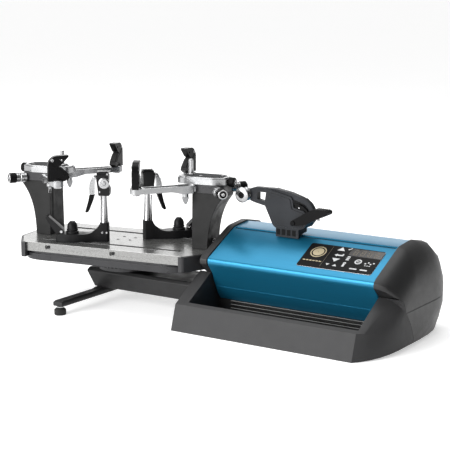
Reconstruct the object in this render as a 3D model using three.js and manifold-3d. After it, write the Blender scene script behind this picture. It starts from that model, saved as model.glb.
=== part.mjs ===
// Table-top electronic racket stringing machine, in millimetres, +Z up.
// A beam on a cross leg carries a turntable with two towers, four racket hooks and two string clamps.
// A tension head at the beam's right end pulls the string with a gripper carriage on a sliding rail.
// Everything is drawn about the turntable's pivot, then shifted so that the origin is at the middle
// of the footprint. X runs along the beam to the tension head, Y to the back.
import * as THREE from 'three';
import { mergeVertices } from 'three/addons/utils/BufferGeometryUtils.js';
import Module from 'manifold-3d';

const wasm = await Module();
wasm.setup();

// ---- driving dimensions ----
const GAP = 0.3;                 // clearance between touching pieces
const REST_TURN = 9.1;           // turntable's rest angle, degrees
const PIVOT_X = 4;               // turntable pivot, from the leg-side datum
const FRAME_SHIFT = { x: -226.2, y: -9.5 };

const BEAM = { left: -71, right: 242.6, bottom: 36, top: 83, half: 55 };
const LEG = { x: -45, half: 193, width: 26, bottom: 20 };
const FOOT = { radius: 13.5, height: 17, inset: 9 };
const RING = { radius: 72, tooth: 3, count: 48, top: 99.7 };

const SKIRT = { length: 215, width: 125, bottom: 108, top: 127, corner: 62 };
const PLATE = { side: 204, tip: 240, width: 121, tipWidth: 62, top: 148 };
const END_CAP = { inner: 196, wall: 6, bottom: 113.2 };
const TRACK = { y: 71, half: 176, slot: 14, depth: 9 };

const TOWER = { x: 218, half: 32.5, inner: 185, outer: 223, flare: 260, height: 128 };
const ARM = { angle: 47.5, width: 27, root: 46, top: 146, thin: 12, thick: 17.6 };
const YOKE = { bottom: 147, top: 163, nose: 140, outer: 263, half: 33 };
const PIN = { x: 168, radius: 5.5, top: 198 };
const HOOK = { height: 59, width: 15 };
const KNOB = { near: 60, radius: 12, end: 90, z: 134 };

const CLAMP = { x: 102, post: 75, arm: 18, socket: 44, head: 108, top: 164 };
const CLAMP_TURN = { left: 21.5, right: 40 };

const HOUSE = { left: 243, capLeft: 255, capIn: 277, capOut: 685, bulge: 738, back: 216.5 };
const SEAM_Z = 81;
const WALL = { front: -158, lip: -140, lipZ: 56 };
const WELL = { left: 272, right: 685.3, floor: 10, back: -14.2 };
const SLOT = { y: 42, half: 3.5, left: 281, right: 681 };
const PANEL = { left: 490.5, right: 667, start: 14, end: 92, thick: 1.2 };
const SLOPE = { y: -60, z: 149.5, angle: 26.3 };

const CARRIAGE = { x: 424, front: 25, back: 62 };
const NOSE = { x: 311.5, y: 30, z: 278.5, radius: 17, half: 14 };

// ---- materials ----
const finish = {
  black: { color: 0x1b1b1c, roughness: 0.5, metalness: 0.1 },
  plastic: { color: 0x2f2f30, roughness: 0.65, metalness: 0 },
  cast: { color: 0x3a3a3b, roughness: 0.6, metalness: 0.2 },
  grey: { color: 0x4d4d52, roughness: 0.45, metalness: 0.4 },
  silver: { color: 0xc9cbcd, roughness: 0.3, metalness: 0.9 },
  steel: { color: 0xdadcde, roughness: 0.2, metalness: 1 },
  blue: { color: 0x1f93bd, roughness: 0.35, metalness: 0.7 },
  charcoal: { color: 0x45474b, roughness: 0.55, metalness: 0.2 },
  rubber: { color: 0x202020, roughness: 0.9, metalness: 0 },
};

// ---- solids: every helper returns a closed manifold body ----
function solid(geometry) {
  const bare = geometry.index ? geometry.toNonIndexed() : geometry.clone();
  bare.deleteAttribute('normal');
  bare.deleteAttribute('uv');
  const merged = mergeVertices(bare, 1e-4);
  const place = merged.attributes.position;
  const corners = [];
  for (let i = 0; i < merged.index.count; i += 3) {
    const [a, b, c] = [0, 1, 2].map((k) => merged.index.getX(i + k));
    if (a !== b && b !== c && c !== a) corners.push(a, b, c);
  }
  if (signedVolume(place, corners) < 0) corners.reverse();
  return new wasm.Manifold(new wasm.Mesh({
    numProp: 3,
    vertProperties: new Float32Array(place.array),
    triVerts: new Uint32Array(corners),
  }));
}

function signedVolume(place, corners) {
  const point = (i) => new THREE.Vector3().fromBufferAttribute(place, corners[i]);
  let sum = 0;
  for (let i = 0; i < corners.length; i += 3) {
    sum += point(i).dot(point(i + 1).cross(point(i + 2)));
  }
  return sum;
}

function join(first, ...others) {
  return others.reduce((whole, piece) => whole.add(piece), first);
}

function cut(first, ...tools) {
  return tools.reduce((whole, tool) => whole.subtract(tool), first);
}

// A flat outline: points are [u, v] or [u, v, blend], where blend rounds that corner. A blend never
// takes more than half of an edge.
function outline(points) {
  const shape = new THREE.Shape();
  points.forEach((point, i) => {
    const corner = new THREE.Vector2(point[0], point[1]);
    const sides = [points.at(i - 1), points[(i + 1) % points.length]]
      .map(([u, v]) => new THREE.Vector2(u, v).sub(corner));
    const blend = Math.min(point[2] ?? 0, ...sides.map((side) => side.length() * 0.49));
    const [enter, leave] = sides.map((side) => (blend ? side.setLength(blend).add(corner) : corner));
    if (i === 0) shape.moveTo(enter.x, enter.y);
    else shape.lineTo(enter.x, enter.y);
    if (blend) shape.quadraticCurveTo(corner.x, corner.y, leave.x, leave.y);
  });
  shape.closePath();
  return shape;
}

const SIDES = {
  X: new THREE.Matrix4().makeBasis(new THREE.Vector3(0, 1, 0), new THREE.Vector3(0, 0, 1),
    new THREE.Vector3(1, 0, 0)),
  Y: new THREE.Matrix4().makeBasis(new THREE.Vector3(1, 0, 0), new THREE.Vector3(0, 0, 1),
    new THREE.Vector3(0, -1, 0)),
  Z: new THREE.Matrix4(),
};

// Extrudes an outline between two values on one axis; the outline lies in the other two axes.
function prism(axis, points, low, high, steps = 5) {
  const options = { depth: high - low, bevelEnabled: false, curveSegments: steps };
  const geometry = new THREE.ExtrudeGeometry(outline(points), options);
  geometry.translate(0, 0, axis === 'Y' ? -high : low);
  return solid(geometry.applyMatrix4(SIDES[axis]));
}

function box(x0, x1, y0, y1, z0, z1) {
  const geometry = new THREE.BoxGeometry(x1 - x0, y1 - y0, z1 - z0);
  return solid(geometry.translate((x0 + x1) / 2, (y0 + y1) / 2, (z0 + z1) / 2));
}

// A body turned about an axis through `at`; profile points are [radius, distance along the axis].
function turned(axis, profile, at = [0, 0, 0], sides = 24) {
  const points = profile.map(([radius, along]) => new THREE.Vector2(radius, along));
  const geometry = new THREE.LatheGeometry(points, sides);
  if (axis === 'Z') geometry.rotateX(Math.PI / 2);
  if (axis === 'X') geometry.rotateZ(-Math.PI / 2);
  return solid(geometry.translate(...at));
}

function rod(axis, radius, low, high, at = [0, 0, 0], sides = 24) {
  return turned(axis, [[0, low], [radius, low], [radius, high], [0, high]], at, sides);
}

function mirrored(points) {
  return [...points, ...points.map(([u, v, blend]) => [-u, v, blend]).reverse()];
}

function rectangle(halfU, halfV, blend = 0) {
  return [[-halfU, -halfV, blend], [halfU, -halfV, blend], [halfU, halfV, blend], [-halfU, halfV, blend]];
}

// ---- meshes and groups ----
function piece(name, body, look) {
  const shape = body.getMesh();
  const geometry = new THREE.BufferGeometry();
  geometry.setAttribute('position', new THREE.BufferAttribute(new Float32Array(shape.vertProperties), 3));
  geometry.setIndex(new THREE.BufferAttribute(new Uint32Array(shape.triVerts), 1));
  const mesh = new THREE.Mesh(geometry, new THREE.MeshStandardMaterial(finish[look]));
  mesh.name = name;
  return mesh;
}

function group(parts, place = {}) {
  const { x = 0, y = 0, z = 0, turn = 0 } = place;
  const made = new THREE.Group();
  made.add(...parts);
  made.position.set(x, y, z);
  made.rotation.z = THREE.MathUtils.degToRad(turn);
  return made;
}

// ---- beam, leg and feet ----
function beam() {
  const { half, bottom, top } = BEAM;
  const section = mirrored([[half - 14, bottom], [half, top - 8], [half - 5, top]]);
  const end = [[BEAM.left + 12, bottom], [BEAM.right, bottom], [BEAM.right, top],
    [BEAM.left + 4, top], [BEAM.left, top - 8]];
  return prism('X', section, BEAM.left, BEAM.right).intersect(prism('Y', end, -half - 1, half + 1));
}

function leg() {
  const { half, width, bottom } = LEG;
  const top = BEAM.bottom - GAP;
  const side = mirrored([[half - 2, bottom], [half, bottom + 2], [half, top - 6], [half - 5, top - 3],
    [BEAM.half, top - 3], [BEAM.half - 8, top]]);
  const section = mirrored([[width / 2, bottom], [width / 2, top - 7], [width / 2 - 4, top]]);
  const length = prism('X', side, -width / 2, width / 2);
  const bar = prism('Y', section, -half - 1, half + 1);
  return length.intersect(bar).translate([LEG.x, 0, 0]);
}

function foot(y) {
  const { radius, height } = FOOT;
  const profile = [[0, 0], [radius - 1, 0], [radius, 1.5], [radius, height - 5], [radius - 3, height - 2],
    [5, height - 1], [5, LEG.bottom - GAP], [0, LEG.bottom - GAP]];
  return turned('Z', profile, [LEG.x, y, 0], 20);
}

function bearingRing() {
  const { radius, tooth, count, top } = RING;
  const points = [];
  for (let i = 0; i < count; i += 1) {
    for (const [part, grow] of [[0, 0], [0.3, tooth], [0.6, 0]]) {
      const angle = ((i + part) / count) * Math.PI * 2;
      points.push([(radius + grow) * Math.cos(angle), (radius + grow) * Math.sin(angle)]);
    }
  }
  const flange = rod('Z', radius - 6, BEAM.top + GAP, 92.5, [0, 0, 0], 32);
  const ring = join(prism('Z', points, 92, top), flange);
  return ring.translate([PIVOT_X, 0, 0]);
}

// ---- turntable ----
function turntableHub() {
  const [low, high] = [RING.top + GAP, SKIRT.top - 4 - GAP];
  return turned('Z', [[0, low], [64, low], [60, 108], [60, high], [0, high]], [0, 0, 0], 32);
}

function skirt() {
  const { length, width, bottom, top, corner } = SKIRT;
  const outer = prism('Z', rectangle(length, width, corner), bottom, top - 4, 8);
  const lip = prism('Z', rectangle(length - 3, width - 3, corner), top - 4.5, top, 8);
  const seat = rod('Z', 61, bottom - 1, top - 4, [0, 0, 0], 32);
  return cut(join(outer, lip), seat);
}

function plateOutline(grow = 0) {
  const { side, tip, width, tipWidth } = PLATE;
  const half = [[side + grow / 2, -width - grow, 6], [tip + grow, -tipWidth, 10],
    [tip + grow, tipWidth, 10], [side + grow / 2, width + grow, 6]];
  return [...half, ...half.map(([u, v, blend]) => [-u, -v, blend])];
}

// A long shallow recess in the plate's edge: straight on top, its floor line sweeping up to the right.
function scoop(left, right) {
  const [low, high] = [SKIRT.top + 6, PLATE.top - 4];
  const edge = [[left, low + 1, 4], [(left + right) / 2 + 18, low, 20], [right, high - 1, 2],
    [right - 6, high, 1], [left, high, 4]];
  return prism('Y', edge, -PLATE.width - 6, -PLATE.width + 4);
}

function turntablePlate() {
  const { top } = PLATE;
  const plate = prism('Z', plateOutline(), SKIRT.top + GAP, top);
  const tracks = [-1, 1].map((side) => {
    const y = side * TRACK.y;
    return box(-TRACK.half, TRACK.half, y - TRACK.slot / 2, y + TRACK.slot / 2, top - TRACK.depth, top + 1);
  });
  const front = [scoop(-146, 4), scoop(22, 174)];
  const back = front.map((tool) => tool.rotate([0, 0, 180]));
  return cut(plate, ...tracks, ...front, ...back);
}

function plateEndCap(side) {
  const { inner, wall, bottom } = END_CAP;
  const outer = prism('Z', plateOutline(wall), bottom, PLATE.top - 0.6);
  const end = box(inner, PLATE.tip + 20, -160, 160, 100, 160);
  const plate = prism('Z', plateOutline(GAP), SKIRT.top - GAP, PLATE.top + 5);
  const pan = prism('Z', rectangle(SKIRT.length + GAP, SKIRT.width + GAP, SKIRT.corner), 100, SKIRT.top + GAP, 8);
  const cap = cut(outer.intersect(end), plate, pan);
  return cap.rotate([0, 0, side > 0 ? 0 : 180]);
}

// ---- towers and racket hooks, drawn for the right end; the left end is the same turned half way ----
function tower() {
  const { half, inner, outer, flare, height } = TOWER;
  const base = PLATE.top + GAP;
  const top = PLATE.top + height;
  const curve = new THREE.CubicBezierCurve(new THREE.Vector2(outer, base), new THREE.Vector2(outer + 2, base + 60),
    new THREE.Vector2(outer + 13, top - 36), new THREE.Vector2(flare, top - 8));
  const side = [[inner, top], [inner, base], ...curve.getPoints(10).map((p) => [p.x, p.y]), [flare, top]];
  const shell = prism('Y', side, -half, half);
  const ends = prism('X', mirrored([[half, base], [half - 3, top]]), inner - 1, flare + 1);
  return shell.intersect(ends);
}

function lockBolt() {
  const at = [TOWER.outer + 1.8, -6, PLATE.top + 16];
  const head = turned('X', [[0, 0], [6, 0], [6, 3], [4, 4], [4, 7], [0, 7]], at, 16);
  const lever = prism('X', [[-3, 0, 1], [3, 0, 1], [2, -13, 1], [-2, -13, 1]], 4.5, 8);
  return join(head, lever.rotate([55, 0, 0]).translate(at));
}

function armCut(width, low, high, near, far) {
  return [-1, 1].map((side) => box(near, far, -width / 2, width / 2, low, high)
    .rotate([0, 0, 180 + side * ARM.angle])
    .translate([TOWER.x, 0, 0]));
}

function saddle() {
  const z = PLATE.top;
  const points = mirrored([[-22, 260, 4], [-34, 252, 4], [-34, 196, 4], [-24, 183, 8]])
    .map(([v, u, blend]) => [u, v, blend]);
  const block = prism('Z', points, z + TOWER.height + GAP, z + YOKE.bottom - GAP);
  const channels = armCut(14, z + 130.5, z + 143.5, 0, 70);
  const screws = armCut(10, z + KNOB.z - 5, z + KNOB.z + 5, -70, 0);
  return cut(block, ...channels, ...screws);
}

function yokePlate() {
  const { bottom, top, nose, outer, half } = YOKE;
  const low = PLATE.top + bottom;
  const high = PLATE.top + top;
  const middle = (nose + outer) / 2;
  const points = [[nose, -half, 32], [outer - 26, -half, 6], [outer, -18, 4], [outer, 18, 4],
    [outer - 26, half, 6], [nose, half, 32]];
  const inset = points.map(([u, v, blend]) => [u + Math.sign(middle - u) * 3, v * 0.91, blend]);
  const body = prism('Z', points, low, high - 3, 6);
  const crown = prism('Z', inset, high - 4, high, 6);
  const pin = rod('Z', PIN.radius + GAP, high - 12, high + 1, [PIN.x, 0, 0], 20);
  return cut(join(body, crown), pin);
}

function supportPin() {
  const z = PLATE.top;
  const { radius, top } = PIN;
  const low = z + YOKE.top - 12 + GAP;
  return turned('Z', [[0, low], [radius, low], [radius, z + top - 2], [radius - 1.5, z + top], [0, z + top]],
    [PIN.x, 0, 0], 20);
}

// One arm along +X from the tower's centre: a thick root, a thin outer end and a tongue in the saddle.
function arm(reach) {
  const { root, width, top, thin, thick } = ARM;
  const high = PLATE.top + top;
  const end = reach + width / 2;
  const side = [[root, high], [root, high - thick, 3], [root + 28, high - thick, 6], [root + 52, high - thin, 6],
    [end, high - thin], [end, high]];
  const near = [[root, -width / 2 - 2, 4], [root + 26, -width / 2 - 2, 6], [root + 50, -width / 2, 6],
    [end, -width / 2, width / 2 - 0.5]];
  const plan = [...near, ...near.map(([u, v, blend]) => [u, -v, blend]).reverse()];
  const bar = prism('Y', side, -width, width, 3).intersect(prism('Z', plan, high - 30, high + 1, 4));
  const tongue = box(22, root + 2, -6.5, 6.5, PLATE.top + 131, PLATE.top + 143);
  const boss = rod('Z', 7, high - thick - 9, high - thick + 1, [root + 16, 0, 0], 12);
  const nut = rod('Z', 6, high - thin - 3, high - thin + 1, [reach, 0, 0], 12);
  return join(bar, tongue, boss, nut);
}

// A racket hook: a plate with an open mouth, drawn with its mouth towards +X and its axis at the origin.
function hook() {
  const { height, width } = HOOK;
  const base = PLATE.top + ARM.top + GAP;
  const back = -22;
  const profile = [[0, 0], [0, height - 14, 12], [14, height - 1, 8], [47, height], [48, height - 3],
    [30, 37, 2], [25, 35.5], [25, 31.5], [31, 31, 2], [47, 14, 2], [49, 7], [38, 0]];
  const plate = prism('Y', profile.map(([u, v, blend]) => [u + back, v + base, blend]), -width / 2, width / 2, 3);
  const eye = rod('Y', 2.6, -width, width, [10, 0, base + height - 11], 8);
  const collar = rod('Z', 11, base, base + 5, [0, 0, 0], 16);
  return cut(join(plate, collar), eye);
}

// An adjusting knob along -X from the tower's centre, with its screw reaching into the saddle.
function knob() {
  const { near, radius, end, z } = KNOB;
  const profile = [[0, -16], [4, -16], [4, -near], [9, -near], [9, -near - 8], [radius, -near - 9],
    [radius, -end + 5], [radius - 1, -end + 4], [6, -end + 4], [6, -end], [0, -end]];
  return turned('X', profile, [0, 0, PLATE.top + z], 16);
}

function hookArm({ name, side, facing, reach }, turn) {
  const slope = THREE.MathUtils.degToRad(ARM.angle);
  const tip = { x: TOWER.x - reach * Math.cos(slope), y: -side * reach * Math.sin(slope) };
  const along = { x: TOWER.x, turn: 180 + side * ARM.angle };
  return [
    group([piece(`${name}_arm`, arm(reach), 'silver')], along),
    group([piece(`${name}_knob`, knob(), 'black')], along),
    group([piece(`${name}_hook`, hook(), 'black')], { ...tip, turn: facing - turn }),
  ];
}

function towerSet(end, hooks) {
  const turn = end === 'right' ? 0 : 180;
  return group([
    piece(`tower_${end}`, tower(), 'cast'),
    piece(`tower_${end}_lock`, lockBolt(), 'steel'),
    piece(`saddle_${end}`, saddle(), 'silver'),
    piece(`yoke_plate_${end}`, yokePlate(), 'silver'),
    piece(`support_pin_${end}`, supportPin(), 'steel'),
    ...hooks.flatMap((made) => hookArm(made, turn)),
  ], { turn });
}

// ---- string clamps: drawn with the swivel at the origin and the post on +X ----
function clampGlide() {
  const { top } = PLATE;
  const deep = top - TRACK.depth + GAP;
  return join(box(-14, 14, -TRACK.slot / 2 + GAP, TRACK.slot / 2 - GAP, deep, top - 0.5),
    rod('Z', 6, deep, top + 0.4, [0, 0, 0], 20));
}

function clampBase() {
  const z = PLATE.top + 0.8;
  const { post, arm: thick, socket } = CLAMP;
  const side = [[-38, z], [post + 11, z], [post + 11, z + socket - 0.8], [post - 10, z + socket - 0.8],
    [post - 14, z + 34, 8], [post - 32, z + thick, 14], [-30, z + thick, 3], [-38, z + thick - 6, 3]];
  const plan = [[-38, -14, 6], [-12, -20, 8], [14, -20, 8], [post - 24, -11, 10], [post + 11, -11, 8],
    [post + 11, 11, 8], [post - 24, 11, 10], [14, 20, 8], [-12, 20, 8], [-38, 14, 6]];
  const body = prism('Y', side, -21, 21, 4).intersect(prism('Z', plan, z - 1, z + socket + 1, 3));
  const top = z + thick;
  const dome = turned('Z', [[0, top - 1], [15, top - 1], [15, top + 4], [12, top + 6], [12, top + 17],
    [10, top + 23], [6, top + 27], [0, top + 28]], [0, 0, 0], 20);
  return join(body, dome);
}

function clampBaseLever() {
  const z = PLATE.top + 0.8 + CLAMP.arm + GAP;
  const profile = [[-20, z, 2], [-20, z + 9, 3], [-56, z + 42, 5], [-62, z + 37, 4], [-37, z, 4]];
  return prism('Y', profile, -11, 11);
}

function clampPost() {
  const low = PLATE.top + 0.8 + CLAMP.socket - 0.8 + GAP;
  const high = PLATE.top + CLAMP.head - GAP;
  return turned('Z', [[0, low], [10, low], [9, low + 6], [6.5, high - 4], [6.5, high], [0, high]],
    [CLAMP.post, 0, 0], 24);
}

// The jaw block: a slit splits its top into two jaws; a screw seat stands on its near side.
function clampHead() {
  const [low, high] = [PLATE.top + CLAMP.head, PLATE.top + CLAMP.top];
  const at = CLAMP.post;
  const side = [[at - 12, low, 3], [at + 14, low, 3], [at + 15, low + 16, 3], [at + 11, low + 22, 3],
    [at + 12, high - 8, 3], [at + 8, high, 2], [at - 15, high - 2, 3], [at - 17, high - 12, 4], [at - 14, low + 20, 6]];
  const block = prism('Y', side, -12, 12);
  const slit = box(at - 30, at + 30, -0.9, 0.9, high - 20, high + 1);
  const slant = box(at - 30, at + 30, 6, 20, high - 8, high + 1);
  const slope = box(at - 30, at + 30, -20, -6, high - 8, high + 1);
  return cut(block, slit, slant, slope);
}

function clampDial() {
  const at = [CLAMP.post + 2, -12 - GAP, PLATE.top + CLAMP.top - 26];
  return turned('Y', [[0, -7], [4, -7], [5, -5], [11, -5], [12, -4], [12, -1], [10, 0], [0, 0]], at, 28);
}

// The clamp's closing lever hangs from a pivot on the head, outward and down.
function clampLever() {
  const [x, z] = [CLAMP.post - 16, PLATE.top + 150];
  const side = [[x - 2, z + 6, 4], [x - 7, z + 4, 5], [x - 16, z - 16, 8], [x - 16, z - 40, 3],
    [x - 4, z - 40, 3], [x - 4, z - 18, 4], [x - 2, z - 6, 2]];
  return prism('Y', side, -7, 7).translate([-1.5, 0, 0]);
}

function clampHandle() {
  const [x, z] = [CLAMP.post - 17.5, PLATE.top + 150];
  const side = [[x - 16, z - 40.3, 2], [x - 4, z - 40.3, 2], [x - 7, z - 52, 8], [x - 19, z - 82, 4],
    [x - 27, z - 82, 4], [x - 19, z - 56, 8]];
  return prism('Y', side, -6, 6);
}

function clampSet(end) {
  const sign = end === 'right' ? 1 : -1;
  const turn = CLAMP_TURN[end] + (end === 'right' ? 180 : 0);
  const name = `clamp_${end}`;
  return group([
    group([piece(`${name}_glide`, clampGlide(), 'steel')]),
    group([
      piece(`${name}_base`, clampBase(), 'black'),
      piece(`${name}_lock`, clampBaseLever(), 'black'),
      piece(`${name}_post`, clampPost(), 'steel'),
      piece(`${name}_head`, clampHead(), 'black'),
      piece(`${name}_dial`, clampDial(), 'silver'),
      piece(`${name}_lever`, clampLever(), 'silver'),
      piece(`${name}_handle`, clampHandle(), 'black'),
    ], { turn }),
  ], { x: sign * CLAMP.x, y: sign * TRACK.y });
}

// ---- tension head: outlines are [y, z], swept along X ----
const APRON = [[-15, 48.3], [-24, 60], [-31, 73], [-35.5, 82], [-47, 110]];
const SHELL = [[-62, 130], [-65.5, 135], [-66.5, 140], [-65.5, 145], [-62.5, 148.3], [-58, 150.5], [35, 196.5],
  [45, 199.8], [97, 205], [150, 194], [188, 168], [210, 125], [213.5, SEAM_Z + GAP]];
const SKIN = [...APRON, ...SHELL];
const RIM = [[-47, 115], ...shifted(SHELL.slice(1, 4), -3), ...shifted(SHELL.slice(5, -1), -3)];
const SEAM = [[-44, 112], [-30, 104], [-24, SEAM_Z], [0, 47], [12, 20], [14, 0]];
const SECTION = [[WALL.front, 0], [WALL.lip, WALL.lipZ], [-44, 112], ...RIM, [HOUSE.back, 105], [HOUSE.back, 60],
  [HOUSE.back - 4, 28], [HOUSE.back - 14, 0]];
// The right end's outermost outline, point for point with SECTION.
const CROWN = [[-24, 10], [-30, 50], [-28, 78], [-27, 84], [-25, 87], [-24, 90], [-23, 92], [-18, 96], [5, 110],
  [20, 115], [76, 116], [104, 108], [114, 98], [120, 90], [121, 82], [118, 62], [66, 34], [2, 11]];
// The front wall, SECTION's first points, turns into the right end at a plain corner of this angle.
const CORNER = { points: 2, angle: 28 };

// Shifts an open path sideways by an amount, corner by corner.
function shifted(path, amount) {
  return path.map((point, i) => {
    const before = path[Math.max(i - 1, 0)];
    const after = path[Math.min(i + 1, path.length - 1)];
    const along = new THREE.Vector2(after[0] - before[0], after[1] - before[1]).normalize();
    return [point[0] + along.y * amount, point[1] - along.x * amount];
  });
}

// Triangles that fill an outline, wound the same way as the outline itself.
function flat(points) {
  const contour = points.map(([y, z]) => new THREE.Vector2(y, z));
  const clockwise = THREE.ShapeUtils.isClockWise(contour);
  return THREE.ShapeUtils.triangulateShape(contour, []).map((corners) => {
    const same = THREE.ShapeUtils.isClockWise(corners.map((k) => contour[k])) === clockwise;
    return same ? corners : corners.toReversed();
  });
}

// A solid through outlines that stand one behind another on X, given as [x, points].
function loft(stations) {
  const count = stations[0][1].length;
  const place = stations.flatMap(([x, points]) => points.flatMap(([y, z]) => [x, y, z]));
  const faces = [];
  for (let k = 0; k + 1 < stations.length; k += 1) {
    for (let i = 0; i < count; i += 1) {
      const [a, b] = [k * count + i, k * count + ((i + 1) % count)];
      faces.push(a, b + count, b, a, a + count, b + count);
    }
  }
  const last = (stations.length - 1) * count;
  flat(stations[0][1]).forEach(([a, b, c]) => faces.push(a, b, c));
  flat(stations.at(-1)[1]).forEach(([a, b, c]) => faces.push(last + a, last + c, last + b));
  const geometry = new THREE.BufferGeometry();
  geometry.setAttribute('position', new THREE.Float32BufferAttribute(place, 3));
  geometry.setIndex(faces);
  return solid(geometry);
}

// The right end swells outward like a quarter of an ellipse, from SECTION to CROWN. The front wall
// follows the later part of that ellipse, so it starts with a corner.
function rightEnd() {
  const steps = 6;
  const start = (CORNER.angle * Math.PI) / 180;
  const stations = [[HOUSE.capOut - 2, SECTION]];
  for (let i = 0; i <= steps; i += 1) {
    const angle = (i / steps) * (Math.PI / 2);
    const reach = Math.sin(start) + (1 - Math.sin(start)) * Math.sin(angle);
    const smooth = 1 - Math.cos(angle);
    const sharp = 1 - Math.sqrt(1 - reach * reach) / Math.cos(start);
    const points = SECTION.map(([y, z], k) => {
      const part = k < CORNER.points ? sharp : smooth;
      return [y + (CROWN[k][0] - y) * part, z + (CROWN[k][1] - z) * part];
    });
    stations.push([HOUSE.capOut + (HOUSE.bulge - HOUSE.capOut) * Math.sin(angle), points]);
  }
  return loft(stations);
}

function tray() {
  const front = [[WALL.front - 5, -1], [WALL.front - 5, 113], ...SEAM, [14, -1]];
  const wall = [[WALL.front, 0], [WALL.lip, WALL.lipZ], ...SEAM];
  const left = prism('X', wall, HOUSE.left, HOUSE.capOut - 1);
  const right = rightEnd().intersect(prism('X', front, HOUSE.capOut - 3, HOUSE.bulge + 1));
  const well = [[-147, WELL.floor, 4], [WELL.back, WELL.floor], [WELL.back, 140], [-110, 140], [-127, 76]];
  const hollow = prism('X', well, WELL.left, WELL.right, 4);
  const behind = box(WELL.left, WELL.right, WELL.back - 0.01, 30, WELL.floor, 140);
  const lower = box(WELL.left + 5, WELL.right - 5, -140, -20, WELL.floor - 1.5, WELL.floor + 1);
  return cut(join(left, right), hollow, behind, lower);
}

function rearCover() {
  const high = SEAM_Z - GAP;
  const back = [[14.5, -1], [14.5, 0], [12.5, 20], [0.5, 47], [-23.6, high], [HOUSE.back + 5, high],
    [HOUSE.back + 5, -1]];
  const region = prism('X', back, HOUSE.left - 1, HOUSE.bulge + 1);
  const left = prism('X', SECTION, HOUSE.left, HOUSE.capOut - 1);
  return join(left, rightEnd()).intersect(region);
}

function blueExtrusion() {
  const shell = [...SKIN, ...shifted(SKIN, 3).reverse()];
  const slot = box(SLOT.left, SLOT.right, SLOT.y - SLOT.half, SLOT.y + SLOT.half, 180, 215);
  const step = prism('X', [[-38, 81], [-34.6, 84.4], [-33.6, 79.4], [-36, 78]], HOUSE.capIn, HOUSE.capOut);
  return cut(prism('X', shell, HOUSE.capIn + GAP, HOUSE.capOut - GAP), slot, step);
}

function endCap(side) {
  const low = SEAM_Z + GAP;
  const region = [[-43.4, 112.6], [-75, 130], [-75, 230], [230, 230], [230, low], [-23.4, low], [-29.6, 104.4]];
  if (side === 'right') {
    return rightEnd().intersect(prism('X', region, HOUSE.capOut, HOUSE.bulge + 1));
  }
  const slab = prism('X', SECTION, HOUSE.capLeft, HOUSE.capIn);
  const lean = prism('Y', [[HOUSE.capLeft, 70], [HOUSE.capIn, 70], [HOUSE.capIn, 220], [HOUSE.capLeft + 6, 220]],
    -100, HOUSE.back + 5);
  return slab.intersect(lean).intersect(prism('X', region, HOUSE.capLeft, HOUSE.capIn));
}

function ventGrille() {
  const bars = [];
  for (let i = 0; i < 5; i += 1) {
    const z = WELL.floor + 0.6 + i * 8.2;
    bars.push(prism('X', [[WELL.back - 3.5, z], [WELL.back - 3.5, z + 3], [WELL.back + 3, z + 5.5],
      [WELL.back + 3, z + 2]], WELL.left + 34, WELL.right - GAP));
  }
  const back = box(WELL.left + GAP, WELL.right - GAP, WELL.back + 2, WELL.back + 5, WELL.floor + GAP, 52);
  return join(back, ...bars);
}

function slopeFrame(body) {
  const { y, z, angle } = SLOPE;
  return body.rotate([angle, 0, 0]).translate([0, y, z]);
}

function controlPanel() {
  const { left, right, start, end, thick } = PANEL;
  const points = [[left, start, 6], [right, start, 6], [right, end, 6], [left, end, 6]];
  return slopeFrame(prism('Z', points, GAP, GAP + thick));
}

function guideRail() {
  return prism('X', [[32, 120], [52, 120], [52, 128], [47, 132], [52, 136], [52, 142], [32, 142], [32, 136],
    [37, 132], [32, 128]], HOUSE.capIn + GAP, HOUSE.capOut - GAP);
}

// ---- gripper carriage ----
function slider() {
  const { x } = CARRIAGE;
  const neck = box(x - 22, x + 22, SLOT.y - 2.6, SLOT.y + 2.6, 170, 207);
  const block = prism('X', [[26, 143], [58, 143], [58, 172], [26, 172]], x - 30, x + 30);
  return join(block, neck);
}

function carriageBody() {
  const { front, back } = CARRIAGE;
  const outer = [[370, 289, 3], [378, 296, 3], [432, 285, 2], [436, 281], [440, 262], [466, 256, 3], [472, 250],
    [476, 232], [466, 219], [453, 214], [453, 190], [396, 190], [396, 213], [388, 218, 3], [366, 262, 4]];
  const body = prism('Y', outer, front, back, 3);
  const spine = [[322, 291, 6], [338, 298, 6], [390, 299, 12], [428, 294, 12], [462, 284, 10], [478, 275, 8],
    [487, 261, 3], [480, 256, 2], [470, 268, 6], [456, 275, 8], [426, 281, 6], [372, 288, 6], [345, 288, 3],
    [345, 271, 3], [372, 266], [372, 257], [335, 264, 6], [322, 269, 4]];
  const bar = prism('Y', spine, front + 4, back - 20, 3);
  const jaw = prism('Y', [[450, 258], [474, 248], [480, 256], [474, 264], [458, 268]], front + 8, back - 20);
  const house = prism('X', [[10, 187], [35, 199.8], [45, 203.1], [97, 208.5], [97, 150], [10, 150]], 300, 500);
  const tongue = box(400, 448, SLOT.y - 2.9, SLOT.y + 2.9, 180, 207.3);
  const clear = rod('Y', NOSE.radius + 1.5, NOSE.y - NOSE.half - 1, 70, [NOSE.x, 0, NOSE.z], 24);
  const axle = rod('Y', 5, NOSE.y - NOSE.half + 1, back - 12, [NOSE.x, 0, NOSE.z], 16);
  const boom = prism('Y', [[305, 268, 4], [325, 266], [341, 268, 3], [341, 292, 3], [325, 290], [305, 290, 6]],
    back - 22, back - 12);
  return cut(join(cut(join(body, bar), clear), jaw, boom, axle), house, tongue);
}

function noseDisc() {
  const { radius, half } = NOSE;
  const profile = [[5.3, -half], [radius - 4, -half], [radius, -half + 2], [radius, -half + 5], [12, -half + 8],
    [12, half - 12], [radius - 2, half - 9], [radius - 2, half - 4.5], [5.3, half - 4.5], [5.3, -half]];
  return turned('Y', profile, [NOSE.x, NOSE.y, NOSE.z], 28);
}

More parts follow.
